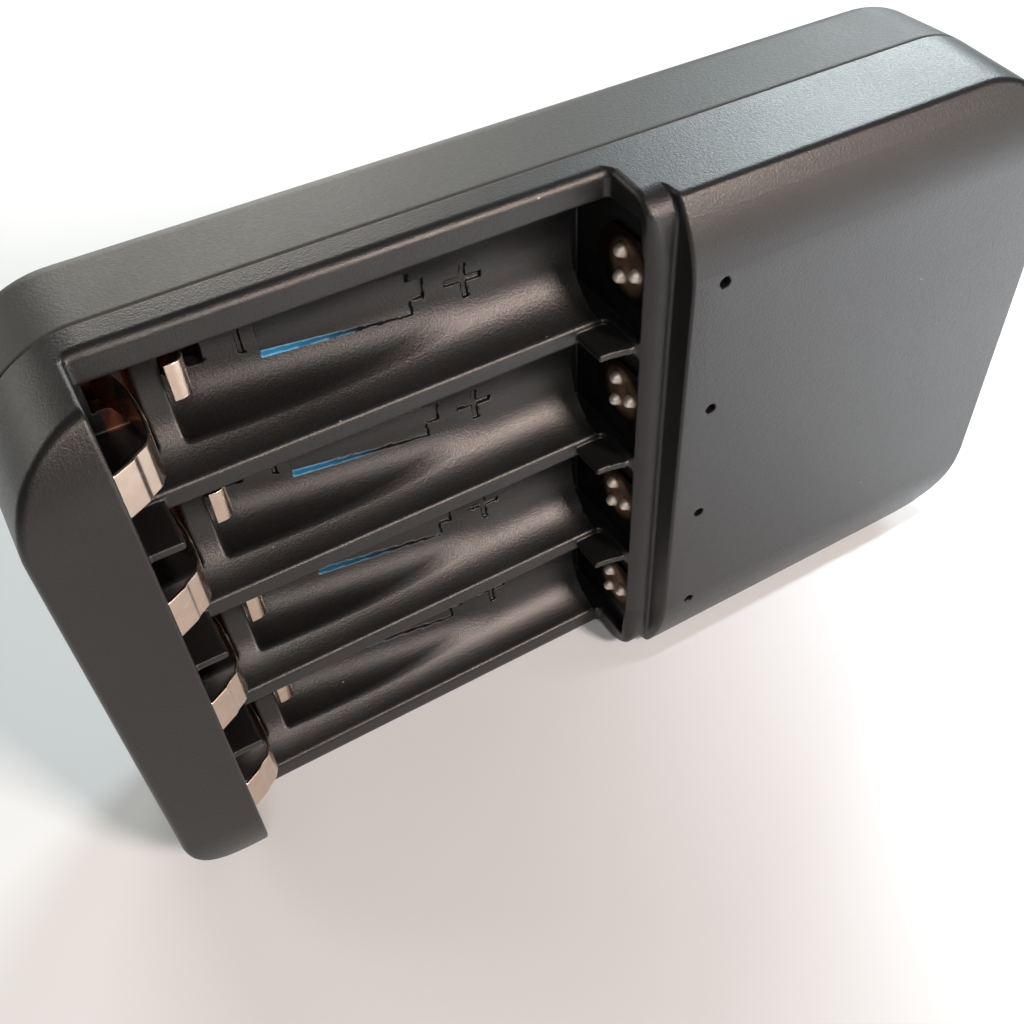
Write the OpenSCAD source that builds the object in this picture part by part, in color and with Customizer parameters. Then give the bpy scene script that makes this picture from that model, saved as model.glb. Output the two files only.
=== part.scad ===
// Four-bay charger for round AA and AAA cells, standing on one long side.
// Every module draws its piece lying on its back: X along the cells, from the hood to the panel,
// Y across the bays and Z out of the front face, with X = 0 at the tips of the positive contacts
// and Z = 0 on the flat of the front face. stand() turns the piece up onto its long side.

/* [Cells] */
// Diameter of the large cell
aa_d = 14.5; // [13.8:0.1:15.5]
// Length of the large cell between its contacts
aa_l = 50.5; // [49:0.5:61]
// Diameter of the small cell
aaa_d = 10.5; // [9.5:0.1:11]
// Length of the small cell between its contacts
aaa_l = 44.5; // [37:0.5:46]
// Radial room round a cell in its channel
cell_gap = 0.15; // [0.1:0.05:0.4]

/* [Case] */
// Distance between the axes of two neighbouring bays
bay_pitch = 16.5; // [16.2:0.1:20]
// Width of the flat rim outside the outer bays
rim_w = 2.3; // [1.6:0.1:4]
// Length of the hood over the negative contacts
hood_l = 9.2; // [8.4:0.1:14]
// Length of the closed panel over the circuit board
panel_l = 52.8; // [50:0.1:75]
// Depth of the front shell, from the face to the parting line
front_t = 13.5; // [12:0.1:15]
// Depth of the rear shell, from the parting line to the back
rear_t = 12.8; // [12.5:0.1:20]
// Thickness of the shell walls
wall = 2; // [1.6:0.1:2.4]
// Corner radius at the hood end
hood_corner_r = 11.5; // [8:0.5:14]
// Corner radius at the panel end
panel_corner_r = 14; // [10:0.5:16]
// Width of the rounded shoulder along each long side of the face
shoulder_w = 11.1; // [8:0.1:12]
// Drop of the shoulder at the long side
shoulder_drop = 3.6; // [2:0.1:3.8]
// Edge radius at the two ends of the front face
face_edge_r = 1.6; // [1:0.1:2]
// Edge radius round the back
back_edge_r = 4; // [2:0.1:5]

/* [Bays] */
// Depth of the large cell's axis below the face
cell_depth = 8; // [7.6:0.1:9]
// Depth of the rims and dividers below the face
rim_depth = 9.8; // [8.5:0.1:10.5]
// Depth of the ridge between the bays and the panel
ridge_depth = 2.9; // [2.5:0.1:3.4]
// Length of the ridge, from the end wall to the panel's step
ridge_l = 3.7; // [3.4:0.1:5]
// Length of the saddle between the two negative contacts
saddle_l = 2.7; // [2.4:0.1:5]
// Fall of the small cell's axis from its positive to its negative end
aaa_drop = 6.4; // [5.4:0.1:6.8]
// Thickness of the fins between the ends of the bays
fin_w = 1.1; // [0.9:0.1:1.6]

/* [Contacts] */
// Width of the spring strips
strip_w = 5; // [4:0.1:6]
// Thickness of the contact sheet
sheet_t = 0.35; // [0.3:0.05:0.5]
// How far a negative contact stands into the room of its cell
preload = 2.2; // [1:0.1:2.4]
// Height of the three pips on a positive contact
pip_h = 1; // [0.8:0.1:1.2]

/* [Mains plug] */
// Length of a blade outside its barrel
blade_l = 16; // [12:0.5:17]
// Width of a blade
blade_w = 6.3; // [6:0.1:6.4]
// Thickness of a blade
blade_t = 1.5; // [1.4:0.1:1.6]
// Distance between the two blades
blade_pitch = 12.7; // [12.7:0.1:14]
// Radius of the plug's barrel
barrel_r = 4; // [3.8:0.1:4.2]

/* [Circuit board] */
// Thickness of the circuit board
board_t = 1.6; // [1:0.1:1.8]
// Depth of the board's top below the face
board_depth = 7.2; // [7:0.1:8]
// Diameter of the indicator pinholes
pinhole_d = 1.2; // [1:0.1:2]

/* [Hidden] */

black = "#232324";
dark = "#1c1d1f";
nickel = "#d9cfc4";
copper = "#b0683c";
green = "#2f5f3f";

bays = 4;
fine = 96;
corner_fn = 40;
sliver = 0.01;
// Clearance between two pieces that pass each other
slip = 0.3;
// Radial clearance of the plug's stub shafts in the rear shell
shaft_gap = 0.05;

case_w = bays * bay_pitch + 2 * rim_w;
half_w = case_w / 2;
case_t = front_t + rear_t;
aa_r = aa_d / 2 + cell_gap;
aaa_r = aaa_d / 2 + cell_gap;
aaa_tilt = asin(aaa_drop / aaa_l);
aaa_run = aaa_l * cos(aaa_tilt);

// Stations along X
end_wall_x = -0.3;
step_x = end_wall_x + ridge_l;
step_run = 0.6;
ridge_fillet_r = 2.2;
ridge_end_r = 3.2;
panel_x = step_x + step_run;
right_x = panel_x + panel_l;
hood_x = -aa_l - 2.1;
left_x = hood_x - hood_l;
saddle_right_x = -aaa_run - 0.5 - 0.45;
saddle_left_x = saddle_right_x - saddle_l;
middle_x = (left_x + right_x) / 2;

// Pits for the large cells' springs
pit_w = strip_w + 5.6;
pit_depth = 19;
pit_left_x = hood_x - 5.8;
hood_roof = 3;
hood_edge_r = 0.8;
fin_l = 3.5;
// The large cell's spring strip bows out between its root in the floor and the hood
bow_r = 20.8;
bow_a = 27;
bow_x = -aa_l + preload;
leaf_root_x = bow_x - bow_r * (1 - cos(bow_a));
// Shift of the small cell's spring strip towards the upper side
aaa_shift = 1.1;
aaa_strip_w = strip_w - 0.8;

// Positive pockets behind the end wall
pocket_w = 2 * aa_r - 0.4;
pocket_top = ridge_depth + 1.6;
pocket_bottom = cell_depth + aa_r + 2.2;
plate_x = pip_h;
plate_t = 0.4;
plate_w = 8;
plate_bottom = cell_depth + 5;
pocket_l = plate_x + plate_t - end_wall_x;
tray_right_x = step_x + 0.2;

// Screw places
screw_r = 1.3;
tower_r = 3;
tower_x = [right_x - 8.5, left_x + 4.6];
tower_y = [half_w - 8.5, bay_pitch];
screw_head_r = 2.5;
screw_seat = rear_t - 5;
screw_l = 11;

// Plug well in the back
well_wall = 1.5;
pivot_x = panel_x + 10;
pivot_z = -case_t + barrel_r + 0.3;
carrier_w = blade_pitch + 6.4;
well_w = carrier_w + 1.2;
well_left_x = pivot_x - barrel_r - 0.6;
well_right_x = pivot_x + barrel_r + blade_l + 2.4;
well_z = pivot_z + barrel_r + 0.7;
stub_r = 1.6;
stub_end_y = well_w / 2 + well_wall + 0.4;

// Circuit board
board_left_x = tray_right_x + 0.6;
board_right_x = tower_x[0] - tower_r - 1;
board_w = 2 * (half_w - wall - 2);
board_top_z = -board_depth;
board_low_z = board_top_z - board_t;
led_x = panel_x + 3.5;

function bay_y(k) = ((bays - 1) / 2 - (k - 1)) * bay_pitch;
function divider_y(k) = (bay_y(k) + bay_y(k + 1)) / 2;
function arc(cx, cy, r, a0, a1, n) =
    [for (i = [0 : n]) [cx + r * cos(a0 + (a1 - a0) * i / n), cy + r * sin(a0 + (a1 - a0) * i / n)]];
// Outline of the case seen from the front, drawn in by d all round
function outline(d) = concat(
    arc(right_x - panel_corner_r, half_w - panel_corner_r, panel_corner_r - d, 0, 90, 10),
    arc(left_x + hood_corner_r, half_w - hood_corner_r, hood_corner_r - d, 90, 180, 10),
    arc(left_x + hood_corner_r, -half_w + hood_corner_r, hood_corner_r - d, 180, 270, 10),
    arc(right_x - panel_corner_r, -half_w + panel_corner_r, panel_corner_r - d, 270, 360, 10));
// Shoulder of the face: a circular arc that leaves the flat face tangentially
shoulder_r = (shoulder_w * shoulder_w + shoulder_drop * shoulder_drop) / (2 * shoulder_drop);
shoulder_a = asin(shoulder_w / shoulder_r);
function face_section() = concat(
    [[-half_w - 1, -case_t - 1]],
    [[-half_w - 1, -shoulder_drop]],
    arc(-half_w + shoulder_w, -shoulder_r, shoulder_r, 90 + shoulder_a, 90, 10),
    arc(half_w - shoulder_w, -shoulder_r, shoulder_r, 90, 90 - shoulder_a, 10),
    [[half_w + 1, -shoulder_drop]],
    [[half_w + 1, -case_t - 1]]);
// Points of a bent strip: the centre line p offset by half the thickness t to both sides
function unit(v) = v / norm(v);
function side(p, i) =
    let (a = p[max(i - 1, 0)], b = p[min(i + 1, len(p) - 1)], d = unit(b - a)) [-d[1], d[0]];
function strip_outline(p, t) = concat(
    [for (i = [0 : len(p) - 1]) p[i] + side(p, i) * t / 2],
    [for (i = [len(p) - 1 : -1 : 0]) p[i] - side(p, i) * t / 2]);

// Stands a lying piece on its long side, centred on the origin
module stand() {
    translate([-middle_x, -case_t / 2, half_w]) rotate([90, 0, 0]) children();
}

// Draws a shape given in X and Z over the width w, centred on y
module across(y, w) {
    translate([0, y + w / 2, 0]) rotate([90, 0, 0]) linear_extrude(w) children();
}

module cell_tube(y, r) {
    translate([-aa_l - 10, y, -cell_depth]) rotate([0, 90, 0])
        cylinder(h = aa_l + 10 + end_wall_x, r = r, $fn = fine);
}

// Groove of the small cell: its axis falls from the positive tip to the saddle
module small_cell_groove(y, r, right_stop) {
    intersection() {
        translate([0, y, -cell_depth]) rotate([0, -90 - aaa_tilt, 0])
            translate([0, 0, -5]) cylinder(h = aaa_l + 15, r = r, $fn = fine);
        translate([saddle_right_x, y - r - 1, -case_t]) cube([right_stop - saddle_right_x, 2 * r + 2, case_t]);
    }
}

module slab(x0, x1, w, z0, z1, y = 0) {
    translate([x0, y - w / 2, z0]) cube([x1 - x0, w, z1 - z0]);
}

// Room above the rims: a step at the hood and an S-curve up to the ridge at the panel
module bay_notch() {
    s = ridge_fillet_r;
    across(0, case_w + 2) polygon(concat(
        [[hood_x - hood_edge_r, 1]],
        arc(hood_x - hood_edge_r, -hood_edge_r, hood_edge_r, 90, 0, 4),
        [[hood_x, -rim_depth]],
        arc(end_wall_x - s, -rim_depth + s, s, -90, 0, 8),
        arc(end_wall_x + s, -ridge_depth - s, s, 180, 90, 8),
        [[step_x, -ridge_depth], [panel_x, 1]]));
}

// One corner of a shell: a round post with its top edge rounded, or its bottom edge where up is -1
module corner_post(x, y, r, h, edge_r, up, steps) {
    translate([x, y, 0]) rotate_extrude($fn = corner_fn)
        polygon(concat(
            [[0, up * h], [0, 0], [r, 0]],
            arc(r - edge_r, up * (h - edge_r), edge_r, 0, up * 90, steps)));
}

// Solid between the four rounded corners of the case
module case_slab(h, edge_r, up, steps) {
    hull() for (s = [-1, 1]) {
        corner_post(left_x + hood_corner_r, s * (half_w - hood_corner_r), hood_corner_r, h, edge_r, up, steps);
        corner_post(right_x - panel_corner_r, s * (half_w - panel_corner_r), panel_corner_r, h, edge_r, up, steps);
    }
}

// Corner between the ridge's top and its two ends, to be rounded off
module ridge_corners() {
    for (s = [-1, 1])
        translate([end_wall_x - ridge_fillet_r, 0, 0]) rotate([90, 0, 90]) linear_extrude(ridge_l + ridge_fillet_r)
            polygon(concat(
                [[s * (half_w + 1), 1], [s * (half_w - ridge_end_r), 1]],
                arc(s * (half_w - ridge_end_r), -ridge_depth - ridge_end_r, ridge_end_r, 90, 90 - s * 90, 8),
                [[s * (half_w + 1), -ridge_depth - ridge_end_r]]));
}

module front_envelope() {
    intersection() {
        translate([0, 0, -front_t]) case_slab(front_t, face_edge_r, 1, 4);
        translate([left_x - 1, 0, 0]) rotate([90, 0, 90])
            linear_extrude(right_x - left_x + 2) polygon(face_section());
    }
}

// Underside of the bay block, which hangs into the rear shell
module bay_block() {
    intersection() {
        across(0, case_w) polygon([
            [left_x, -front_t + 1],
            [left_x, -pit_depth - 2.2],
            [saddle_right_x + 1, -pit_depth - 2.2],
            [-aaa_run / 4, -cell_depth - aa_r - 1.5],
            [end_wall_x - 2, -cell_depth - aa_r - 1.5],
            [end_wall_x - 2, -pocket_bottom - 1.5],
            [tray_right_x, -pocket_bottom - 1.5],
            [tray_right_x, -front_t + 1]]);
        translate([0, 0, -case_t]) linear_extrude(case_t) polygon(outline(wall + slip));
    }
}

module fins() {
    for (k = [1 : bays - 1]) {
        slab(hood_x - 1, hood_x + fin_l, fin_w, -front_t, -3.5, divider_y(k));
        slab(end_wall_x - fin_l, end_wall_x + 1, fin_w, -front_t, -ridge_depth - 1.7, divider_y(k));
    }
}

// Hollow of one bay with its pit, its two spring slots and its positive pocket
module bay_hollow(k) {
    y = bay_y(k);
    intersection() {
        cell_tube(y, aa_r);
        slab(hood_x, 1, bay_pitch, -case_t, 1, y);
    }
    small_cell_groove(y, aaa_r, -aa_r);
    slab(pit_left_x, saddle_left_x, pit_w, -pit_depth, -hood_roof - slip - sheet_t, y);
    slab(hood_x - sliver, saddle_left_x, pit_w, -pit_depth, 1, y);
    slab(pit_left_x, hood_x + 1, strip_w + 2 * slip, -pit_depth, -hood_roof, y);
    slab(leaf_root_x - 1.1, leaf_root_x + 0.7, strip_w + 2 * slip, -pit_depth - 4, -pit_depth + sliver, y);
    slab(saddle_right_x - 1.6, saddle_right_x + 0.5, aaa_strip_w + 4 * slip, -pit_depth - 4, 2.1 - pit_depth,
        y + aaa_shift);
    slab(saddle_right_x, saddle_right_x + 4.5, aaa_strip_w + 4 * slip, -pit_depth - 4, 3 - pit_depth,
        y + aaa_shift);
    slab(end_wall_x - sliver, end_wall_x + pocket_l, pocket_w, -pocket_bottom, -pocket_top, y);
}

module panel_hollow() {
    intersection() {
        translate([0, 0, -case_t]) linear_extrude(case_t) polygon(outline(wall));
        translate([left_x - 1, 0, -wall]) rotate([90, 0, 90])
            linear_extrude(right_x - left_x + 2) polygon(face_section());
        union() {
            slab(panel_x + wall, right_x, case_w, -case_t, 0);
            slab(tray_right_x, right_x, case_w, -case_t, -ridge_depth - wall);
        }
    }
}

module front_housing() color(black) stand() {
    difference() {
        union() {
            difference() {
                front_envelope();
                bay_notch();
                ridge_corners();
                panel_hollow();
            }
            bay_block();
            fins();
            for (s = [-1, 1]) {
                translate([tower_x[0], s * tower_y[0], -front_t])
                    cylinder(h = front_t - wall - 0.5, r = tower_r, $fn = fine);
                for (x = [led_x + 5, board_right_x - 5])
                    translate([x, s * (board_w / 2 - 3), board_top_z])
                        cylinder(h = board_depth - wall - 0.3, r = 1.8, $fn = fine);
            }
        }
        for (k = [1 : bays]) {
            bay_hollow(k);
            translate([led_x, bay_y(k), -wall - 2]) cylinder(h = wall + 3, d = pinhole_d, $fn = 48);
            slab(plate_x, tray_right_x + 1, 3.6, board_top_z - 0.2, board_top_z + 0.7, bay_y(k));
        }
        for (s = [-1, 1])
            for (i = [0, 1])
                translate([tower_x[i], s * tower_y[i], -case_t])
                    cylinder(h = case_t - wall - 2.5, r = screw_r, $fn = fine);
        for (s = [-1, 1])
            translate([tower_x[1], s * tower_y[1], -case_t])
                cylinder(h = rear_t + sliver, r = tower_r + slip, $fn = fine);
    }
}

module rear_envelope() {
    translate([0, 0, -front_t]) case_slab(rear_t, back_edge_r, -1, 6);
}

module rear_housing() color(black) stand() {
    difference() {
        union() {
            difference() {
                rear_envelope();
                translate([0, 0, -case_t + wall]) linear_extrude(rear_t) polygon(outline(wall));
            }
            intersection() {
                union() {
                    slab(well_left_x - well_wall, well_right_x + well_wall, well_w + 2 * well_wall,
                        -case_t + sliver, well_z + well_wall);
                    for (s = [-1, 1])
                        for (i = [0, 1])
                            translate([tower_x[i], s * tower_y[i], -case_t + sliver])
                                cylinder(h = rear_t - sliver, r = tower_r, $fn = fine);
                }
                rear_envelope();
            }
        }
        slab(well_left_x, well_right_x, well_w, -case_t - 1, well_z);
        translate([pivot_x, 0, pivot_z]) rotate([90, 0, 0])
            cylinder(h = well_w + 2 * well_wall + 2, r = stub_r + shaft_gap, center = true, $fn = fine);
        for (s = [-1, 1])
            for (i = [0, 1]) {
                translate([tower_x[i], s * tower_y[i], -case_t - 1]) {
                    cylinder(h = case_t, r = screw_r + 0.3, $fn = fine);
                    cylinder(h = 1 + rear_t - screw_seat, r = screw_head_r + 0.4, $fn = fine);
                }
            }
    }
}

// Spring strip of the large cell: up out of the pit's floor, bowed to the cell and back under the hood
module aa_contact(k) color(nickel) stand() {
    bow_z = -cell_depth - 2.5;
    bend_r = 6.7;
    path = concat(
        [[leaf_root_x, -pit_depth - 3.4]],
        arc(bow_x - bow_r, bow_z, bow_r, -bow_a, 0, 8),
        arc(bow_x - bend_r, bow_z, bend_r, 9, 38, 6),
        [[hood_x, -hood_roof - 0.3]],
        [[hood_x - 1.2, -hood_roof - 0.5]]);
    across(bay_y(k), strip_w) polygon(strip_outline(path, sheet_t));
}

// Spring strip of the small cell: up out of the floor, bowed to the cell and bent back over the saddle
module aaa_contact(k) color(nickel) stand() {
    apex_x = -aaa_run + 1.2;
    root_x = saddle_right_x - 0.5;
    bend_r = 1.2;
    path = concat(
        [[root_x, -pit_depth - 3.4], [root_x, -pit_depth - 1.4]],
        arc(apex_x - bend_r, -15.3, bend_r, -30, 100, 10),
        [[saddle_right_x + 0.2, -14.1]]);
    across(bay_y(k) + aaa_shift, aaa_strip_w) polygon(strip_outline(path, sheet_t));
}

// Plate with three pips in a ring and a tab that lies on the circuit board
module positive_contact(k) color(nickel) stand() {
    y = bay_y(k);
    pip_ring = 1.8;
    ring_z = 0.3 - cell_depth;
    top_z = -pocket_top - 0.3;
    translate([plate_x, y, 0]) rotate([90, 0, 90]) linear_extrude(plate_t) polygon([
        [-plate_w / 2, top_z],
        [-plate_w / 2, ring_z - 2.8],
        [-plate_w / 5, -plate_bottom],
        [plate_w / 5, -plate_bottom],
        [plate_w / 2, ring_z - 2.8],
        [plate_w / 2, top_z]]);
    for (a = [90, 210, 330])
        translate([plate_x, y + pip_ring * cos(a), ring_z + pip_ring * sin(a)])
            rotate([0, -90, 0]) cylinder(h = pip_h, r1 = 0.75, r2 = 0.25, $fn = 24);
    slab(plate_x, board_left_x + 1.4, 3, board_top_z, board_top_z + plate_t, y);
}

module indicator_led(k) color("white") stand() {
    translate([led_x, bay_y(k), board_top_z]) {
        cylinder(h = 0.8, r = 1.7, $fn = 48);
        cylinder(h = 2.9, r = 1.45, $fn = 48);
        translate([0, 0, 2.9]) intersection() {
            sphere(r = 1.45, $fn = 48);
            translate([0, 0, 1]) cube([4, 4, 2], center = true);
        }
    }
}

module main_board() color(green) stand() {
    slab(board_left_x, board_right_x, board_w, board_low_z, board_top_z);
}

// Two E-shaped ferrite halves round the winding
trafo_x = board_right_x - 17;
trafo_y = well_w / 2 + well_wall + 1.6;
trafo_l = 16;
trafo_w = min(15, half_w - wall - 1 - trafo_y);
trafo_h = 13;
module transformer_core() color(dark) stand() {
    translate([trafo_x, trafo_y, board_low_z - trafo_h - 0.6]) difference() {
        cube([trafo_l, trafo_w, trafo_h]);
        for (x = [3.2, trafo_l / 2 + 2])
            translate([x, -1, 3]) cube([trafo_l / 2 - 5.2, trafo_w + 2, trafo_h - 6]);
    }
}

module transformer_winding() color("#c8a23a") stand() {
    translate([trafo_x + 3.3, trafo_y - 1, board_low_z - trafo_h + 2.5]) difference() {
        cube([trafo_l - 6.6, trafo_w + 1.6, trafo_h - 6.2]);
        translate([trafo_l / 2 - 5.4, 0.9, -1]) cube([4.2, trafo_w + 0.2, trafo_h]);
    }
}

module can_capacitor(x, y, r, l, sleeve) {
    color(sleeve) translate([x, y, board_low_z - r - 0.1]) rotate([0, 90, 0]) difference() {
        cylinder(h = l, r = r, $fn = 64);
        translate([0, 0, l - 1.6]) difference() {
            cylinder(h = 0.8, r = r + 1, $fn = 64);
            cylinder(h = 0.8, r = r - 0.4, $fn = 64);
        }
    }
}

module input_capacitor() stand()
    can_capacitor(board_left_x + 1.5, half_w - wall - 10.5, 5, 16, "#26303f");

module output_capacitor() stand()
    can_capacitor(board_left_x + 2, -half_w + wall + 10, 4, 12, "#2b2b30");

module control_chip() color(dark) stand() {
    slab(led_x + 12, led_x + 22, 3.9, board_top_z, board_top_z + 1.5, 4);
    for (i = [0 : 7])
        for (s = [-1, 1])
            slab(led_x + 12.4 + i * 1.27, led_x + 12.8 + i * 1.27, 1.1, board_top_z, board_top_z + 0.3, 4 + s * 2.4);
}

module rectifier() color(dark) stand() {
    slab(pivot_x + 8, pivot_x + 16.5, 6.4, board_low_z - 3.2, board_low_z, -half_w + wall + 11);
}

module fuse() color("#e8e2d2") stand() {
    translate([pivot_x + 8, -half_w + wall + 4.5, board_low_z - 1.9]) rotate([0, 90, 0]) {
        cylinder(h = 2.4, r = 1.85, $fn = 48);
        cylinder(h = 10, r = 1.6, $fn = 48);
        translate([0, 0, 7.6]) cylinder(h = 2.4, r = 1.85, $fn = 48);
    }
}

module filter_choke() color("#3a3c42") stand() {
    translate([board_right_x - 6, -half_w + wall + 11, board_low_z - 9]) {
        cylinder(h = 1.4, r = 4, $fn = 64);
        cylinder(h = 9, r = 3.2, $fn = 64);
        translate([0, 0, 7.6]) cylinder(h = 1.4, r = 4, $fn = 64);
    }
}

// Sheet-metal strip that ties the negative contacts to the board
module return_strip() color(copper) stand() {
    z = -pit_depth - 3.6;
    x = saddle_right_x - 2;
    slab(hood_x, x + 3.2, case_w - 2 * wall - 8, z - sheet_t, z);
    slab(x, board_left_x + 2.5, 3, z - sheet_t, z, -half_w + wall + 4);
    slab(board_left_x + 2.5 - sheet_t, board_left_x + 2.5, 3, z - sheet_t, board_low_z, -half_w + wall + 4);
}

// Barrel that turns on two stub shafts, with a slot for each blade
module plug_carrier() color(dark) stand() {
    difference() {
        translate([pivot_x, 0, pivot_z]) rotate([90, 0, 0]) {
            cylinder(h = carrier_w, r = barrel_r, center = true, $fn = fine);
            cylinder(h = 2 * stub_end_y, r = stub_r, center = true, $fn = fine);
        }
        for (s = [-1, 1])
            slab(pivot_x - 2, pivot_x + barrel_r + 1, blade_t, pivot_z - blade_w / 2, pivot_z + blade_w / 2,
                s * blade_pitch / 2);
    }
}

// Flat blade with a rounded tip, folded back along the case
module plug_blade(s) color(nickel) stand() {
    tip_r = 1.5;
    end_x = pivot_x + barrel_r + blade_l;
    difference() {
        across(s * blade_pitch / 2, blade_t) polygon(concat(
            [[pivot_x - 2, pivot_z + blade_w / 2], [pivot_x - 2, pivot_z - blade_w / 2]],
            arc(end_x - tip_r, pivot_z - blade_w / 2 + tip_r, tip_r, -90, 0, 6),
            arc(end_x - tip_r, pivot_z + blade_w / 2 - tip_r, tip_r, 0, 90, 6)));
        translate([end_x - 4, s * blade_pitch / 2, pivot_z]) rotate([90, 0, 0])
            cylinder(h = blade_t + 1, r = 1.55, center = true, $fn = 48);
    }
}

// Upright strip between a stub shaft and the board
module plug_spring(s) color(copper) stand() {
    y = s * (stub_end_y + 0.1 + sheet_t / 2);
    slab(pivot_x - 2, pivot_x + 2, sheet_t, pivot_z - 2, board_low_z, y);
}

module case_screws() color("#9a9a9a") stand() {
    for (s = [-1, 1])
        for (i = [0, 1])
            translate([tower_x[i], s * tower_y[i], -front_t - screw_seat]) {
                translate([0, 0, -1.6]) difference() {
                    cylinder(h = 1.6, r = screw_head_r, $fn = 48);
                    for (a = [0, 90])
                        rotate([0, 0, a]) translate([0, 0, 0.3])
                            cube([3, 0.7, 1.2], center = true);
                }
                cylinder(h = screw_l, r = screw_r - 0.05, $fn = 48);
            }
}

front_housing();
rear_housing();
aa_contact(1);  // aa_contact_1
aa_contact(2);  // aa_contact_2
aa_contact(3);  // aa_contact_3
aa_contact(4);  // aa_contact_4
aaa_contact(1);  // aaa_contact_1
aaa_contact(2);  // aaa_contact_2
aaa_contact(3);  // aaa_contact_3
aaa_contact(4);  // aaa_contact_4
positive_contact(1);  // positive_contact_1
positive_contact(2);  // positive_contact_2
positive_contact(3);  // positive_contact_3
positive_contact(4);  // positive_contact_4
indicator_led(1);  // indicator_led_1
indicator_led(2);  // indicator_led_2
indicator_led(3);  // indicator_led_3
indicator_led(4);  // indicator_led_4
main_board();
transformer_core();
transformer_winding();
input_capacitor();
output_capacitor();
control_chip();
rectifier();
fuse();
filter_choke();
return_strip();
plug_carrier();
plug_blade(-1);  // plug_blade_left
plug_blade(1);  // plug_blade_right
plug_spring(-1);  // plug_spring_left
plug_spring(1);  // plug_spring_right
case_screws();
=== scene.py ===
import math

import bmesh
import bpy
import numpy as np
from mathutils import Matrix, Vector


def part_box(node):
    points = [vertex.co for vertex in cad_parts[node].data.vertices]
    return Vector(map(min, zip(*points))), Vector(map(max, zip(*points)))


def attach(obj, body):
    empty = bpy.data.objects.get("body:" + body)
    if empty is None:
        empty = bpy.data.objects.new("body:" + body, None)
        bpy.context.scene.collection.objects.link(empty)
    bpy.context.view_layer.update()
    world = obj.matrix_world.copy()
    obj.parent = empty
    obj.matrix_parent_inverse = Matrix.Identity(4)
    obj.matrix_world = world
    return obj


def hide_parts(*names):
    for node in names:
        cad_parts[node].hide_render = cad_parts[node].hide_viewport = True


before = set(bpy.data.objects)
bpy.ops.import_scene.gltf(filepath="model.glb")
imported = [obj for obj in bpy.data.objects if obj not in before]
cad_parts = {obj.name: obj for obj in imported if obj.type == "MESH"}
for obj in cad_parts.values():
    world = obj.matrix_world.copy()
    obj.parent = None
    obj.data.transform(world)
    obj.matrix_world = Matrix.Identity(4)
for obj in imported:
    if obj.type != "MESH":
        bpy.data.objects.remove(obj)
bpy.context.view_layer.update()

# Lengths are millimetres in the charger's own directions, as it lies on its back: x along the cells,
# y across the bays, z out of the front face, with x = 0 at the tips of the positive contacts,
# y = 0 between the middle bays and z = 0 on the flat of the face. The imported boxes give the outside.
MM = 0.001
front_low, front_high = (np.array(corner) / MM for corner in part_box("front_housing"))
rear_low, rear_high = (np.array(corner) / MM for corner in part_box("rear_housing"))
tip_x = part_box("positive_contact_1")[0].x / MM
MIDDLE_HEIGHT = (front_low[2] + front_high[2]) / 2
LEFT, RIGHT = front_low[0] - tip_x, front_high[0] - tip_x
HALF_WIDTH = (front_high[2] - front_low[2]) / 2
PARTING = front_low[1] - rear_low[1]
BACK = front_low[1] - rear_high[1]
BAYS = 4
BAY_Y = [sum(corner.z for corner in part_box(f"aa_contact_{k}")) / (2 * MM) - MIDDLE_HEIGHT
         for k in range(1, BAYS + 1)]
PITCH = BAY_Y[0] - BAY_Y[1]

# Case
HOOD_CORNER, PANEL_CORNER = 11.5, 14.0
SHOULDER_WIDTH, SHOULDER_DROP = 11.1, 3.6
SHOULDER_R = (SHOULDER_WIDTH ** 2 + SHOULDER_DROP ** 2) / (2 * SHOULDER_DROP)
BACK_EDGE = 4.0
WALL = 2.0
HOOD_X = -52.6
END_WALL_X = -0.3
STEP_X, STEP_RUN = 3.25, 0.35
RIM_DEPTH = 9.8
RIDGE_X, RIDGE_DEPTH = 0.0, 2.9
UNDER_RIM = 1.0
LED_X, PINHOLE_R = 7.5, 0.62
FRONT_TOWER, REAR_TOWER = (48.3, 26.8), (-57.2, 16.5)
TOWER_R, SCREW_R, SCREW_SEAT, SEAT_R = 3.0, 1.3, -21.3, 2.9
POSTS_X, POST_Y, POST_R, POST_FOOT = (12.5, 39.3), 28.3, 1.8, -7.2

# Draft of the front shell's sides, as a slope, and the radii of its rolled edges
HOOD_DRAFT, LONG_DRAFT = 0.02, 0.08
HOOD_ROLL, HOOD_EDGE, RIM_ROLL = 0.7, 0.35, 1.1
RIDGE_ROLL, RIDGE_END_ROLL, RIDGE_END_Y = 3.0, 0.7, (27, 33)
PANEL_ROLL, STEP_ROLL, BAY_LIP = 0.4, 0.35, 0.4

# Bays
CELL_DEPTH, CELL_R = 8.0, 7.4
SMALL_R, SMALL_TILT = 5.4, math.radians(8.27)
SADDLE_LEFT, SADDLE_RIGHT = -47.69, -44.99
PIT_LEFT, PIT_HALF, PIT_DEPTH = -58.4, 5.3, 19.0
HOOD_ROOF = 3.65
STRIP_ROOM, STRIP_FOOT = 2.8, -23.0
SMALL_SHIFT = 1.1
FIN_HALF, FIN_LENGTH = 0.45, 3.5
LEFT_FIN_DROP, RIGHT_FIN_DROP, RIGHT_FIN_DISH = 3.5, 5.2, 0.6
POCKET_HALF, POCKET_TOP, POCKET_DEPTH, POCKET_BACK = 7.2, 4.5, 17.6, 1.4

# Marks in the bays: a cell's outline with its tip, a minus and a plus
OUTLINE_LEFT, OUTLINE_RIGHT, OUTLINE_TIP, OUTLINE_HALF = -35.0, -19.5, -18.0, 2.5
MINUS_LEFT, MINUS_RIGHT = -37.0, -36.5
PLUS_X, PLUS_HALF, STROKE_HALF = -13.75, 2.0, 0.3

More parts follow.
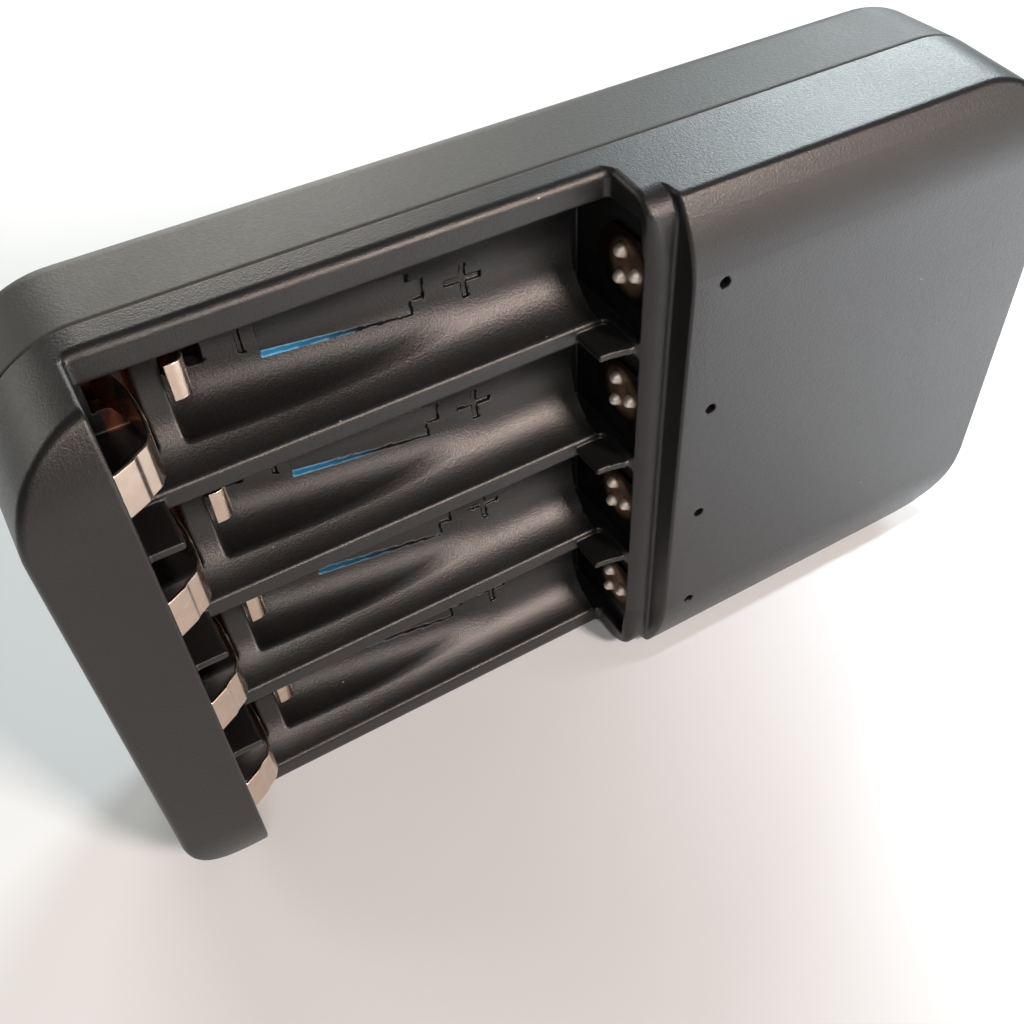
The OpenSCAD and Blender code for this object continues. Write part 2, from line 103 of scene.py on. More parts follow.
# Contacts
SHEET = 0.35
STRIP_WIDTH, SMALL_STRIP_WIDTH = 5.0, 4.2
PIP_RING, PIP_Z = 1.8, -7.7
PLATE_FRONT, PLATE_BACK, PLATE_HALF = 1.0, 1.4, 4.0
TAB_Z = (-7.2, -6.8)

# Mains plug and its recess in the back
PIVOT_X, PIVOT_Z = 14.0, BACK + 4.3
BARREL_R, BARREL_HALF, STUB_R, STUB_HALF = 4.0, 9.55, 1.6, 12.05
WELL_LEFT, WELL_RIGHT, WELL_HALF, WELL_TOP, WELL_WALL = 9.4, 36.4, 10.15, -17.3, 1.5
BLADE_Y, BLADE_HALF_T, BLADE_HALF_W, BLADE_END = 6.35, 0.75, 3.15, 34.0


def stand(points):
    """Turns lying points in millimetres into the frame: x stays, y points up and z points to the front."""
    x, y, z = np.moveaxis(np.asarray(points, float), -1, 0)
    return np.stack([x + tip_x, front_low[1] - z, y + MIDDLE_HEIGHT], -1) * MM


def meet(a, b, r=0.0):
    """Distance to what two solids share: the larger distance, its edge rounded to radius r."""
    corner = np.hypot(np.maximum(a + r, 0), np.maximum(b + r, 0))
    return np.minimum(np.maximum(a, b), -r) + corner


def join(a, b, r=0.0):
    """Distance to two solids together: the smaller distance, with a fillet of radius r where they meet."""
    return -meet(-a, -b, r)


def cut(a, b, r=0.0):
    """Distance to solid a without solid b, its new edges rounded to radius r."""
    return meet(a, -b, r)


def between(value, low, high):
    """Distance outside a slab between two parallel planes, negative within it."""
    return np.maximum(low - value, value - high)


def block(x, b, z, x_range, half, z_range, r=0.0):
    """Distance outside a box that is centred on b = 0, its upright edges rounded to radius r."""
    return np.maximum(meet(between(x, *x_range), np.abs(b) - half, r), between(z, *z_range))


def plan(x, y):
    """Distance outside the case's outline: a rectangle with a corner radius of its own at each end."""
    middle, half = (LEFT + RIGHT) / 2, (RIGHT - LEFT) / 2
    r = np.where(x < middle, HOOD_CORNER, PANEL_CORNER)
    u = np.abs(x - middle) - (half - r)
    v = np.abs(y) - (HALF_WIDTH - r)
    return np.hypot(np.maximum(u, 0), np.maximum(v, 0)) + np.minimum(np.maximum(u, v), 0) - r


def crown(y, z):
    """Distance above the face: a plane whose long sides fall away as circular arcs."""
    beyond = np.maximum(np.abs(y) - (HALF_WIDTH - SHOULDER_WIDTH), 0)
    return np.hypot(beyond, z + SHOULDER_R) - SHOULDER_R


def to_bay(y):
    """Place across the nearest bay, from its centre line."""
    k = np.clip(np.round(y / PITCH + (BAYS - 1) / 2), 0, BAYS - 1)
    return y - (k - (BAYS - 1) / 2) * PITCH


def to_divider(y):
    """Place across the nearest divider, from its centre line."""
    return y - np.clip(np.round(y / PITCH), 1 - BAYS / 2, BAYS / 2 - 1) * PITCH


def sign_area(x, b):
    """Plan distances of the moulded marks in a bay: a cell's outline, and a minus and a plus."""
    cell = join(meet(between(x, OUTLINE_LEFT, OUTLINE_RIGHT), np.abs(b) - OUTLINE_HALF, 0.2),
                meet(between(x, OUTLINE_RIGHT - 0.5, OUTLINE_TIP), np.abs(b) - 1.1, 0.1))
    minus = meet(between(x, MINUS_LEFT, MINUS_RIGHT), np.abs(b + 0.4) - 1.4)
    along, over = np.abs(x - PLUS_X), np.abs(b + 0.3)
    plus = np.minimum(meet(along - STROKE_HALF, over - PLUS_HALF), meet(along - PLUS_HALF, over - STROKE_HALF))
    return cell, np.minimum(minus, plus)


def bay_hollow(x, b, z):
    """Distance outside the open room of a bay: the large cell's channel, the small cell's sloping groove,
    the spring's pit, the strips' slots and the pocket behind the end wall."""
    large = np.hypot(b, z + CELL_DEPTH) - CELL_R
    large = meet(large, between(x, HOOD_X, END_WALL_X), 0.25)
    across = (z + CELL_DEPTH) * math.cos(SMALL_TILT) - x * math.sin(SMALL_TILT)
    small = meet(np.hypot(b, across) - SMALL_R, between(x, SADDLE_RIGHT, -4), 0.3)
    room = join(large, small, 0.35)
    cell, strokes = sign_area(x, b)
    # The cell's outline sinks deepest at its lower left and its upper right corner.
    sink = 0.42 + 0.24 * np.clip((x + 27.5) / 7.5, -1, 1) * np.clip(b / OUTLINE_HALF, -1, 1)
    room = np.minimum(room, np.maximum(room - sink, cell))
    room = np.minimum(room, np.maximum(room - 0.4, strokes))
    pit = meet(between(x, PIT_LEFT, SADDLE_LEFT), np.abs(b) - PIT_HALF, 0.6)
    pit = meet(pit, between(z, -PIT_DEPTH, -HOOD_ROOF), 0.4)
    room = join(room, pit, 0.3)
    tuck = block(x, b, z, (PIT_LEFT, HOOD_X + 0.6), STRIP_ROOM, (-5, -3))
    root = block(x, b, z, (-51.67, -49.87), STRIP_ROOM, (STRIP_FOOT, -PIT_DEPTH + 0.3))
    side, half = b - SMALL_SHIFT, STRIP_ROOM - 0.1
    small_root = np.minimum(block(x, side, z, (SADDLE_RIGHT - 1.6, SADDLE_RIGHT + 0.5), half, (STRIP_FOOT, -16.9)),
                            block(x, side, z, (SADDLE_RIGHT, SADDLE_RIGHT + 4.5), half, (STRIP_FOOT, -16)))
    pocket = meet(meet(between(x, END_WALL_X - 0.5, POCKET_BACK), np.abs(b) - POCKET_HALF, 0.3),
                  between(z, -POCKET_DEPTH, -POCKET_TOP), 0.3)
    slots = np.minimum(np.minimum(tuck, root), small_root)
    return np.minimum(np.minimum(room, slots), pocket)


def from_tower(x, y, tower):
    """Distance from the axis of a screw tower: hypot(x - tower x, |y| - tower y), one on each side."""
    return np.hypot(x - tower[0], np.abs(y) - tower[1])


def front_shell(x, y, z):
    """Distance outside the front shell: rims, ridge, hood and panel, cut by the bays and hollow beneath. Its sides
    lean in with the draft, and the ridge's left edge is rolled less near its ends than along its middle."""
    draft = np.interp(x, [LEFT + 2, HOOD_X + 6], [HOOD_DRAFT, LONG_DRAFT])
    side = plan(x, y) + draft * np.maximum(z - PARTING, 0)
    face = crown(y, z)
    hood = meet(meet(face, side, HOOD_ROLL), x - HOOD_X, HOOD_EDGE)
    rim = meet(z + RIM_DEPTH, side, RIM_ROLL)
    left_roll = np.interp(np.abs(y), RIDGE_END_Y, [RIDGE_ROLL, RIDGE_END_ROLL])
    ridge = meet(meet(z + RIDGE_DEPTH, side, RIDGE_ROLL), RIDGE_X - x, left_roll)
    step = (STEP_X + STEP_RUN * (z + RIDGE_DEPTH) / RIDGE_DEPTH - x) * 0.98
    panel = meet(meet(face, step, STEP_ROLL), side, PANEL_ROLL)
    body = np.maximum(join(join(join(rim, ridge, 0.8), panel, 0.25), hood, 0.5), side)
    d = np.abs(to_divider(y)) - FIN_HALF
    left_fin = meet(meet(d, z + LEFT_FIN_DROP, 0.2), between(x, HOOD_X - 1, HOOD_X + FIN_LENGTH), 0.3)
    dish = RIGHT_FIN_DROP - RIGHT_FIN_DISH * np.clip((x + 3.8) / FIN_LENGTH, 0, 1) ** 2
    right_fin = meet(meet(d, z + dish, 0.2), between(x, END_WALL_X - FIN_LENGTH, 1), 0.3)
    body = join(body, join(left_fin, right_fin), 0.25)
    b = to_bay(y)
    body = cut(body, bay_hollow(x, b, z), BAY_LIP)
    pinhole = np.maximum(np.hypot(x - LED_X, b) - PINHOLE_R, -WALL - 1 - z)
    body = cut(body, pinhole, 0.12)
    body = meet(body, PARTING - z, 0.25)
    lower = np.interp(x, [SADDLE_RIGHT + 1, -11, END_WALL_X - 2.01, END_WALL_X - 2], [-21.2, -16.9, -16.9, -19.1])
    under = np.maximum(side + WALL + 0.3, x - STEP_X - 0.2)
    under = np.maximum(under, np.maximum(lower - z, z + RIM_DEPTH + UNDER_RIM))
    under = cut(under, bay_hollow(x, b, z))
    to_front, to_rear = from_tower(x, y, FRONT_TOWER), from_tower(x, y, REAR_TOWER)
    under = cut(under, np.maximum(to_rear - TOWER_R - 0.3, z - PARTING))
    body = np.minimum(body, under)
    inside = np.maximum(plan(x, y) + WALL, face + WALL)
    chamber = meet(inside, STEP_X + STEP_RUN + WALL - x, 0.4)
    chamber = np.minimum(chamber, np.maximum(np.maximum(inside, STEP_X + 0.2 - x), z + RIDGE_DEPTH + WALL))
    body = cut(body, chamber, 0.2)
    tower = np.maximum(to_front - TOWER_R, between(z, PARTING, -WALL + 0.3))
    nearest = np.abs(x - sum(POSTS_X) / 2) - (POSTS_X[1] - POSTS_X[0]) / 2
    post = np.maximum(np.hypot(nearest, np.abs(y) - POST_Y) - POST_R, between(z, POST_FOOT, -WALL + 0.3))
    body = np.minimum(body, np.minimum(tower, post))
    bore = np.minimum(to_front, to_rear) - SCREW_R
    tab = block(x, b, z, (1, STEP_X + 1.2), 1.8, (-7.4, -6.5))
    return cut(cut(body, np.maximum(bore, z + 4.5)), tab)


def rear_shell(x, y, z):
    """Distance outside the rear shell: a tray with a round back edge, the plug's recess and the screw towers."""
    side = plan(x, y)
    outer = meet(side, BACK - z, BACK_EDGE)
    shell = cut(outer, np.maximum(side + WALL, BACK + WALL - z), 0.3)
    well_wall = np.maximum(block(x, y, z, (WELL_LEFT - WELL_WALL, WELL_RIGHT + WELL_WALL), WELL_HALF + WELL_WALL,
                                 (BACK, WELL_TOP + WELL_WALL)), outer)
    shell = join(shell, well_wall, 0.3)
    to_tower = np.minimum(from_tower(x, y, FRONT_TOWER), from_tower(x, y, REAR_TOWER))
    shell = np.maximum(join(shell, np.maximum(to_tower - TOWER_R, outer), 0.4), outer)
    shell = meet(shell, z - PARTING, 0.25)
    well = meet(meet(between(x, WELL_LEFT, WELL_RIGHT), np.abs(y) - WELL_HALF, 0.6), z - WELL_TOP, 0.3)
    shell = cut(shell, well, 0.4)
    pivot = np.maximum(np.hypot(x - PIVOT_X, z - PIVOT_Z) - STUB_R - 0.05, np.abs(y) - WELL_HALF - WELL_WALL - 1)
    shell = cut(shell, pivot, 0.1)
    shell = cut(shell, to_tower - SCREW_R - 0.3, 0.1)
    return cut(shell, np.maximum(to_tower - SEAT_R, z - SCREW_SEAT), 0.3)


def positive_plate(x, b, z):
    """Distance outside a positive contact: a sheet with a narrow foot, three drawn pips and a tab to the board."""
    foot = ((np.abs(b) - PLATE_HALF) * 2.5 - (z + 10.5) * 2.4) / 3.466
    outline = meet(meet(np.abs(b) - PLATE_HALF, foot, 0.5), between(z, -13, -4.8), 0.4)
    sheet = meet(outline, between(x, PLATE_FRONT, PLATE_BACK), 0.1)
    a = np.arctan2(z - PIP_Z, b) - math.pi / 2
    a = a - np.round(a / (2 * math.pi / 3)) * (2 * math.pi / 3)
    from_centre = np.hypot(b, z - PIP_Z)
    from_pip = np.hypot(from_centre * np.cos(a) - PIP_RING, from_centre * np.sin(a))
    pip = meet(meet((from_pip - 0.45 - 0.4 * x) * 0.928, -x, 0.35), x - 1.2)
    tab = meet(block(x, b, z, (PLATE_FRONT, 5.6), 1.5, TAB_Z), between(z, *TAB_Z), 0.08)
    return join(join(sheet, pip, 0.15), tab, 0.1)


def plug_barrel(x, y, z):
    """Distance outside the plug's barrel: a round bar on two stub shafts, with a slot for each blade."""
    from_axis = np.hypot(x - PIVOT_X, z - PIVOT_Z)
    barrel = meet(from_axis - BARREL_R, np.abs(y) - BARREL_HALF, 0.5)
    barrel = join(barrel, meet(from_axis - STUB_R, np.abs(y) - STUB_HALF, 0.25), 0.2)
    slot = np.maximum(np.abs(np.abs(y) - BLADE_Y) - BLADE_HALF_T, np.abs(z - PIVOT_Z) - BLADE_HALF_W)
    return cut(barrel, np.maximum(slot, PIVOT_X - 2 - x), 0.12)


def plug_blade(x, d, z):
    """Distance outside a blade: a flat bar with rounded tip corners, eased edges and a round hole."""
    outline = meet(meet(x - BLADE_END, np.abs(z - PIVOT_Z) - BLADE_HALF_W, 1.5), PIVOT_X - 2 - x)
    outline = cut(outline, np.hypot(x - BLADE_END + 4, z - PIVOT_Z) - 1.55)
    # The last three millimetres are coined thinner, so that the blade finds its slot.
    half = BLADE_HALF_T - 0.1 * np.clip(x - BLADE_END + 3, 0, 3)
    return meet(outline, np.abs(d) - half, 0.25)


def screw(u, v, z):
    """Distance outside a self-tapping screw, seen from its seat: a domed head with a cross recess and a thread
    whose radius swings once per millimetre of length and per turn."""
    from_axis = np.hypot(u, v)
    head = meet(from_axis - 2.5, between(z, -1.6, 0), 0.15)
    head = meet(head, np.hypot(from_axis, z - 3) - 4.6, 0.2)
    thread = 0.12 * np.cos(2 * math.pi * z - np.arctan2(v, u))
    shank = meet(from_axis - 1.11 - thread, between(z, -0.5, 10.8), 0.3) * 0.8
    arm = np.minimum(np.maximum(np.abs(u) - 0.4, np.abs(v) - 1.5), np.maximum(np.abs(v) - 0.4, np.abs(u) - 1.5))
    return cut(join(head, shank, 0.1), np.maximum(arm, z + 0.7), 0.06)


def stations(start, end, marks, fine, coarse, spread):
    """Grid lines from start to end: fine apart at the marks, and wider with the distance from them."""
    t = np.linspace(start, end, 6001)
    gap = np.clip(fine + spread * np.abs(t[:, None] - np.asarray(marks)).min(1), fine, coarse)
    count = np.concatenate([[0], np.cumsum((t[1] - t[0]) / ((gap[1:] + gap[:-1]) / 2))])
    return np.interp(np.linspace(0, count[-1], int(count[-1]) + 1), count, t)


def slope(solid, p, h=0.01):
    """Gradient of a distance by central differences."""
    steps = np.eye(3) * h
    return np.stack([(solid(*(p + s).T) - solid(*(p - s).T)) / (2 * h) for s in steps], -1)


def skin(solid, lines):
    """Closed surface where a distance is zero. Each grid cell that the surface passes through gets one corner,
    at the mean of the crossings on the cell's edges, then moved along the gradient onto the surface.
    Each grid edge that the surface crosses gets one face, between the corners of the four cells round it."""
    value = solid(lines[0][:, None, None], lines[1][None, :, None], lines[2][None, None, :])
    value = np.broadcast_to(value, tuple(len(line) for line in lines)).astype(np.float32)
    inside = value < 0
    cells = tuple(n - 1 for n in value.shape)
    total, hits = np.zeros((*cells, 3), np.float32), np.zeros(cells, np.float32)
    crossed = []
    for axis in range(3):
        first = tuple(slice(None, -1) if a == axis else slice(None) for a in range(3))
        last = tuple(slice(1, None) if a == axis else slice(None) for a in range(3))
        hit = inside[first] != inside[last]
        index = np.nonzero(hit)
        near, far = value[first][index], value[last][index]
        at = np.stack([lines[a][index[a]] for a in range(3)], -1)
        length = lines[axis][index[axis] + 1] - lines[axis][index[axis]]
        at[:, axis] += length * near / (near - far)
        crossed.append((index, inside[first][index]))
        others = [a for a in range(3) if a != axis]
        for i in (0, 1):
            for j in (0, 1):
                cell = [index[0], index[1], index[2]]
                cell[others[0]] = cell[others[0]] - i
                cell[others[1]] = cell[others[1]] - j
                ok = np.all([(0 <= cell[a]) & (cell[a] < cells[a]) for a in range(3)], 0)
                where = tuple(c[ok] for c in cell)
                flat = np.ravel_multi_index(where, cells)
                for a in range(3):
                    total[..., a] += np.bincount(flat, at[ok, a], hits.size).reshape(cells)
                hits += np.bincount(flat, minlength=hits.size).reshape(cells)
    number = np.cumsum(hits > 0).reshape(cells) - 1
    where = np.nonzero(hits > 0)
    points = (total[where] / hits[where][:, None]).astype(float)
    low = np.stack([lines[a][where[a]] for a in range(3)], -1)
    high = np.stack([lines[a][where[a] + 1] for a in range(3)], -1)
    for _ in range(4):
        g = slope(solid, points)
        move = solid(*points.T)[:, None] * g / np.maximum((g * g).sum(-1, keepdims=True), 0.2)
        points = np.clip(points - move, low, high)
    faces = []
    for axis, (index, starts_inside) in enumerate(crossed):
        u, v = [a for a in range(3) if a != axis]
        if axis == 1:
            u, v = v, u
        ok = np.all([(index[a] > 0) & (index[a] < cells[a]) for a in (u, v)], 0)
        base = [index[a][ok] for a in range(3)]
        ring = []
        for i, j in ((1, 1), (0, 1), (0, 0), (1, 0)):
            cell = list(base)
            cell[u] = cell[u] - i
            cell[v] = cell[v] - j
            ring.append(number[tuple(cell)])
        quads = np.stack(ring, -1)
        flip = ~starts_inside[ok]
        quads[flip] = quads[flip][:, ::-1]
        faces.append(quads)
    return points, np.concatenate(faces), slope(solid, points)


def make_piece(name, points, faces, normals, body, nodes, slot, material):
    """A smooth-shaded piece from lying points in millimetres. It rides a body, stands for CAD nodes and takes the
    material given; the slot argument is not used. Faces is one array, or several where their corner counts differ.
    Faces that lie within half a degree of each other become one, and each corner that stays keeps its exact
    normal."""
    groups = faces if isinstance(faces, list) else [faces]
    mesh = bpy.data.meshes.new(name)
    mesh.vertices.add(len(points))
    mesh.vertices.foreach_set("co", stand(points).astype(np.float32).ravel())
    corners = np.concatenate([group.ravel() for group in groups]).astype(np.int32)
    sizes = np.concatenate([np.full(len(group), group.shape[1]) for group in groups])
    mesh.loops.add(len(corners))
    mesh.loops.foreach_set("vertex_index", corners)
    mesh.polygons.add(len(sizes))
    mesh.polygons.foreach_set("loop_start", (np.cumsum(sizes) - sizes).astype(np.int32))
    mesh.polygons.foreach_set("use_smooth", np.ones(len(sizes), bool))
    mesh.update(calc_edges=True)
    turned = np.stack([normals[:, 0], -normals[:, 2], normals[:, 1]], -1)
    turned /= np.maximum(np.linalg.norm(turned, axis=1, keepdims=True), 1e-9)
    exact = mesh.attributes.new("exact", "FLOAT_VECTOR", "POINT")
    exact.data.foreach_set("vector", turned.astype(np.float32).ravel())
    lean = bmesh.new()
    lean.from_mesh(mesh)
    bmesh.ops.dissolve_limit(lean, angle_limit=math.radians(0.5), verts=lean.verts, edges=lean.edges)
    bmesh.ops.triangulate(lean, faces=[face for face in lean.faces if len(face.verts) > 4])
    lean.to_mesh(mesh)
    lean.free()
    kept = np.empty(len(mesh.vertices) * 3, np.float32)
    mesh.attributes["exact"].data.foreach_get("vector", kept)
    mesh.attributes.remove(mesh.attributes["exact"])
    mesh.normals_split_custom_set_from_vertices(kept.reshape(-1, 3).tolist())
    mesh.materials.append(material)
    piece = bpy.data.objects.new(name, mesh)
    bpy.context.scene.collection.objects.link(piece)
    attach(piece, body)
    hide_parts(*nodes)


def arc(cx, cz, r, start, end):
    """Points of a circular arc in x and z, a tenth of a millimetre apart or nearer, angles in degrees."""
    a = np.radians(np.linspace(start, end, int(abs(math.radians(end - start)) * r / 0.1) + 2))
    return np.stack([cx + r * np.cos(a), cz + r * np.sin(a)], -1)


def bent_strip(path, centre, width, thick):
    """A sheet strip: the path is spaced evenly and its corners are rounded by a running mean over 0.6 mm, then a
    flat ring with rounded edges is carried along it. At each end the ring draws in over a quarter circle and is
    closed by a fan round its middle."""
    path = np.asarray(path, float)
    r = min(0.13, thick * 0.4)
    length = np.concatenate([[0], np.cumsum(np.hypot(*np.diff(path, axis=0).T))])
    at = np.linspace(r, length[-1] - r, int(length[-1] / 0.12) + 1)
    even = np.stack([np.interp(at, length, path[:, i]) for i in (0, 1)], -1)
    longer = np.concatenate([2 * even[:1] - even[2:0:-1], even, 2 * even[-1:] - even[-2:-4:-1]])
    middle = np.stack([np.convolve(longer[:, i], np.ones(5) / 5, "valid") for i in (0, 1)], -1)
    ahead = np.gradient(middle, axis=0)
    ahead /= np.linalg.norm(ahead, axis=1, keepdims=True)
    # Flat ring: a quarter circle round each corner of a core, first axis across the strip, second through it
    a = np.radians(np.arange(0, 91, 22.5)) + np.arange(4)[:, None] * math.pi / 2
    out = np.stack([np.cos(a), np.sin(a)], -1).reshape(-1, 2)
    core = np.repeat([(1, 1), (-1, 1), (-1, -1), (1, -1)], 5, axis=0) * (width / 2 - r, thick / 2 - r)
    draw = np.radians([90, 60, 30])
    still = np.zeros(len(middle))
    lean = np.concatenate([-np.sin(draw), still, np.sin(draw[::-1])])
    keep = np.sqrt(1 - lean ** 2)[:, None]
    middle = np.concatenate([middle[[0, 0, 0]], middle, middle[[-1, -1, -1]]])
    ahead = np.concatenate([ahead[[0, 0, 0]], ahead, ahead[[-1, -1, -1]]])
    place = middle + ahead * (r * lean)[:, None]
    shape = core + out * r * keep[..., None]
    rise = np.stack([-ahead[:, 1], ahead[:, 0]], -1)[:, None]
    xz = place[:, None] + rise * shape[..., 1:]
    n_xz = rise * (out[:, 1] * keep)[..., None] + ahead[:, None] * lean[:, None, None]
    points = np.stack([xz[..., 0], centre + shape[..., 0], xz[..., 1]], -1)
    normals = np.stack([n_xz[..., 0], out[:, 0] * keep, n_xz[..., 1]], -1)
    rows, around = points.shape[:2]
    index = np.arange(rows * around).reshape(rows, around)
    after = np.roll(index, -1, axis=1)
    quads = np.stack([index[:-1], after[:-1], after[1:], index[1:]], -1).reshape(-1, 4)
    fans = np.concatenate([np.stack([after[0], index[0], np.full(around, index.size)], -1),
                           np.stack([index[-1], after[-1], np.full(around, index.size + 1)], -1)])
    points = np.concatenate([points.reshape(-1, 3), points[[0, -1]].mean(1)])
    normals = np.concatenate([normals.reshape(-1, 3), normals[[0, -1]].mean(1)])
    return points, [quads, fans], normals


def linear(code):
    """Linear colour of an sRGB hex value."""
    share = np.array([int(code[i:i + 2], 16) / 255 for i in (1, 3, 5)])
    value = np.where(share > 0.04045, ((share + 0.055) / 1.055) ** 2.4, share / 12.92)
    return (*value.tolist(), 1.0)


def add(tree, kind, inputs=None, out=0, **settings):
    """Adds a node with its settings and links, and gives one of its outputs. An input is another node's output, a
    value, or a colour as an sRGB hex value."""
    made = tree.nodes.new("ShaderNode" + kind)
    for key, value in settings.items():
        setattr(made, key, value)
    for key, value in (inputs or {}).items():
        if isinstance(value, bpy.types.NodeSocket):
            tree.links.new(value, made.inputs[key])
        else:
            made.inputs[key].default_value = linear(value) if isinstance(value, str) else value
    return made.outputs[out]


def new_material(name, **values):
    """A material with its tree, its shader with the values that are even all over, and the piece's coordinates."""
    material = bpy.data.materials.new(name)
    material.use_nodes = True
    tree = material.node_tree
    shader = tree.nodes["Principled BSDF"]
    for key, value in values.items():
        shader.inputs[key.replace("_", " ")].default_value = value
    return material, tree, shader, add(tree, "TexCoord", out="Object")


def surface(tree, shader, **sources):
    """Links node outputs to the shader's inputs, named with underscores."""
    for key, source in sources.items():
        tree.links.new(source, shader.inputs[key.replace("_", " ")])


def black_abs(name, dark, pale, gloss, grain):
    """ABS from a spark-eroded mould: near black, with a low broad gloss that spreads over every rounded edge, a
    sand-like grain that sparkles in the highlights, a little cloudiness from handling and a few pale specks of
    dust. The real grain is 0.05 to 0.1 mm wide and is drawn three to four times as coarse, so that it shows."""
    material, tree, shader, place = new_material(name, IOR=1.53)
    sand = add(tree, "TexNoise", {"Vector": place, "Scale": 1 / (grain * MM), "Detail": 3.0, "Roughness": 0.7})
    bump = add(tree, "Bump", {"Strength": 0.9, "Distance": 0.045 * MM, "Height": sand})
    handled = add(tree, "TexNoise", {"Vector": place, "Scale": 1 / (14 * MM), "Detail": 4.0})
    cloud = add(tree, "MapRange", {"Value": handled, "From Min": 0.3, "From Max": 0.7})
    spots = add(tree, "TexVoronoi", {"Vector": place, "Scale": 1 / (5 * MM)})
    near = add(tree, "MapRange", {"Value": spots, "From Min": 0.016, "From Max": 0.03,
                                  "To Min": 1.0, "To Max": 0.0})
    patches = add(tree, "TexNoise", {"Vector": place, "Scale": 1 / (9 * MM), "Detail": 1.0})
    few = add(tree, "MapRange", {"Value": patches, "From Min": 0.56, "From Max": 0.6, "To Max": 0.55})
    dust = add(tree, "Math", {0: near, 1: few}, operation="MULTIPLY")
    black = add(tree, "Mix", {0: cloud, 6: dark, 7: pale}, 2, data_type="RGBA")
    colour = add(tree, "Mix", {0: dust, 6: black, 7: "#a9a49a"}, 2, data_type="RGBA")
    worn = add(tree, "TexNoise", {"Vector": place, "Scale": 1 / (0.35 * MM)})
    mottle = add(tree, "MapRange", {"Value": worn, "From Min": 0.3, "From Max": 0.7,
                                    "To Min": gloss - 0.03, "To Max": gloss + 0.03})
    rough = add(tree, "Math", {0: cloud, 1: 0.05, 2: mottle}, operation="MULTIPLY_ADD")
    surface(tree, shader, Base_Color=colour, Roughness=rough, Normal=bump)
    return material, tree, shader, place, colour


front_plastic, tree, shader, place, colour = black_abs(
    "black ABS, fine spark-eroded grain", "#141415", "#1a1a1b", 0.33, 0.25)
# The lower wall of each cell outline holds a thin painted blue reflection of the light from above, strong at its
# left end and in the upper bays.
across = add(tree, "SeparateXYZ", {"Vector": place}, "X")
up = add(tree, "SeparateXYZ", {"Vector": place}, "Z")
in_bay = add(tree, "Math", {0: up, 1: (MIDDLE_HEIGHT + PITCH) * MM, 2: MIDDLE_HEIGHT * MM}, operation="WRAP")
wall_height = MIDDLE_HEIGHT + PITCH / 2 - OUTLINE_HALF
on_wall = add(tree, "Math", {0: in_bay, 1: wall_height * MM, 2: 0.14 * MM}, operation="COMPARE")
fading = add(tree, "MapRange", {"Value": across, "From Min": (tip_x - 33.5) * MM, "From Max": (tip_x - 25) * MM,
                                "To Min": 1.0, "To Max": 0.0})
within = add(tree, "Math", {0: across, 1: (tip_x - 27.3) * MM, 2: 7.8 * MM}, operation="COMPARE")
lowest, highest = MIDDLE_HEIGHT + BAY_Y[-1], MIDDLE_HEIGHT + BAY_Y[0]
bays = add(tree, "MapRange", {"Value": up, "From Min": lowest * MM, "From Max": highest * MM, "To Min": 0.12})
painted_blue_reflection = add(tree, "Math", {0: on_wall, 1: fading}, operation="MULTIPLY")
painted_blue_reflection = add(tree, "Math", {0: painted_blue_reflection, 1: within}, operation="MULTIPLY")
painted_blue_reflection = add(tree, "Math", {0: painted_blue_reflection, 1: bays}, operation="MULTIPLY")
colour = add(tree, "Mix", {0: painted_blue_reflection, 6: colour, 7: "#4397c6"}, 2, data_type="RGBA")
# The springs' copper-brown foot sheet shows on the floors of the pits.
down = add(tree, "SeparateXYZ", {"Vector": place}, "Y")
on_floor = add(tree, "Math", {0: down, 1: (front_low[1] + PIT_DEPTH) * MM, 2: 0.4 * MM}, operation="COMPARE")
in_pit = add(tree, "Math", {0: across, 1: (tip_x - 49.2) * MM, 2: 1.9 * MM}, operation="COMPARE")
foot = add(tree, "Math", {0: on_floor, 1: in_pit}, operation="MULTIPLY")
colour = add(tree, "Mix", {0: foot, 6: colour, 7: "#4c2415"}, 2, data_type="RGBA")
surface(tree, shader, Base_Color=colour)

# The rear shell's mould is eroded more coarsely, so that the shell looks duller; its paler grey is painted light,
# for the stronger light that falls on its side.
rear_plastic = black_abs("black ABS, coarser spark-eroded grain, painted paler", "#2c2e2d", "#343634", 0.5, 0.3)[0]

# Spring strip, rolled and plated: bright, with softened mirroring and faint lines along its length from rolling.
# Where it goes down into the pit it turns copper-brown, a painted reflection of the warm light there, and its skin
# is duller.
spring_nickel, tree, shader, place = new_material("nickel-plated spring steel, rolled", Metallic=1.0)
down = add(tree, "SeparateXYZ", {"Vector": place}, "Y")
deep = add(tree, "MapRange", {"Value": down, "From Min": (front_low[1] + 15.8) * MM,
                              "From Max": (front_low[1] + 17.5) * MM})
stretched = add(tree, "Mapping", {"Vector": place, "Scale": (1, 1, 12)})
lines = add(tree, "TexNoise", {"Vector": stretched, "Scale": 1 / (1.2 * MM), "Detail": 3.0})
blots = add(tree, "TexNoise", {"Vector": place, "Scale": 1 / (1.5 * MM), "Detail": 3.0})
stains = add(tree, "MapRange", {"Value": blots, "From Min": 0.4, "From Max": 0.75, "To Max": 0.3})
bright = add(tree, "Mix", {0: stains, 6: "#d9c6b7", 7: "#b39a87"}, 2, data_type="RGBA")
# Painted reflection: the strip turns warm copper-brown with its depth in the pit.
colour = add(tree, "Mix", {0: deep, 6: bright, 7: "#c66f3a"}, 2, data_type="RGBA")
rolled = add(tree, "MapRange", {"Value": lines, "From Min": 0.3, "From Max": 0.7, "To Min": 0.19, "To Max": 0.28})
rough = add(tree, "Math", {0: deep, 1: 0.2, 2: rolled}, operation="MULTIPLY_ADD")
bump = add(tree, "Bump", {"Strength": 0.4, "Distance": 0.006 * MM, "Height": lines})
surface(tree, shader, Base_Color=colour, Roughness=rough, Normal=bump)
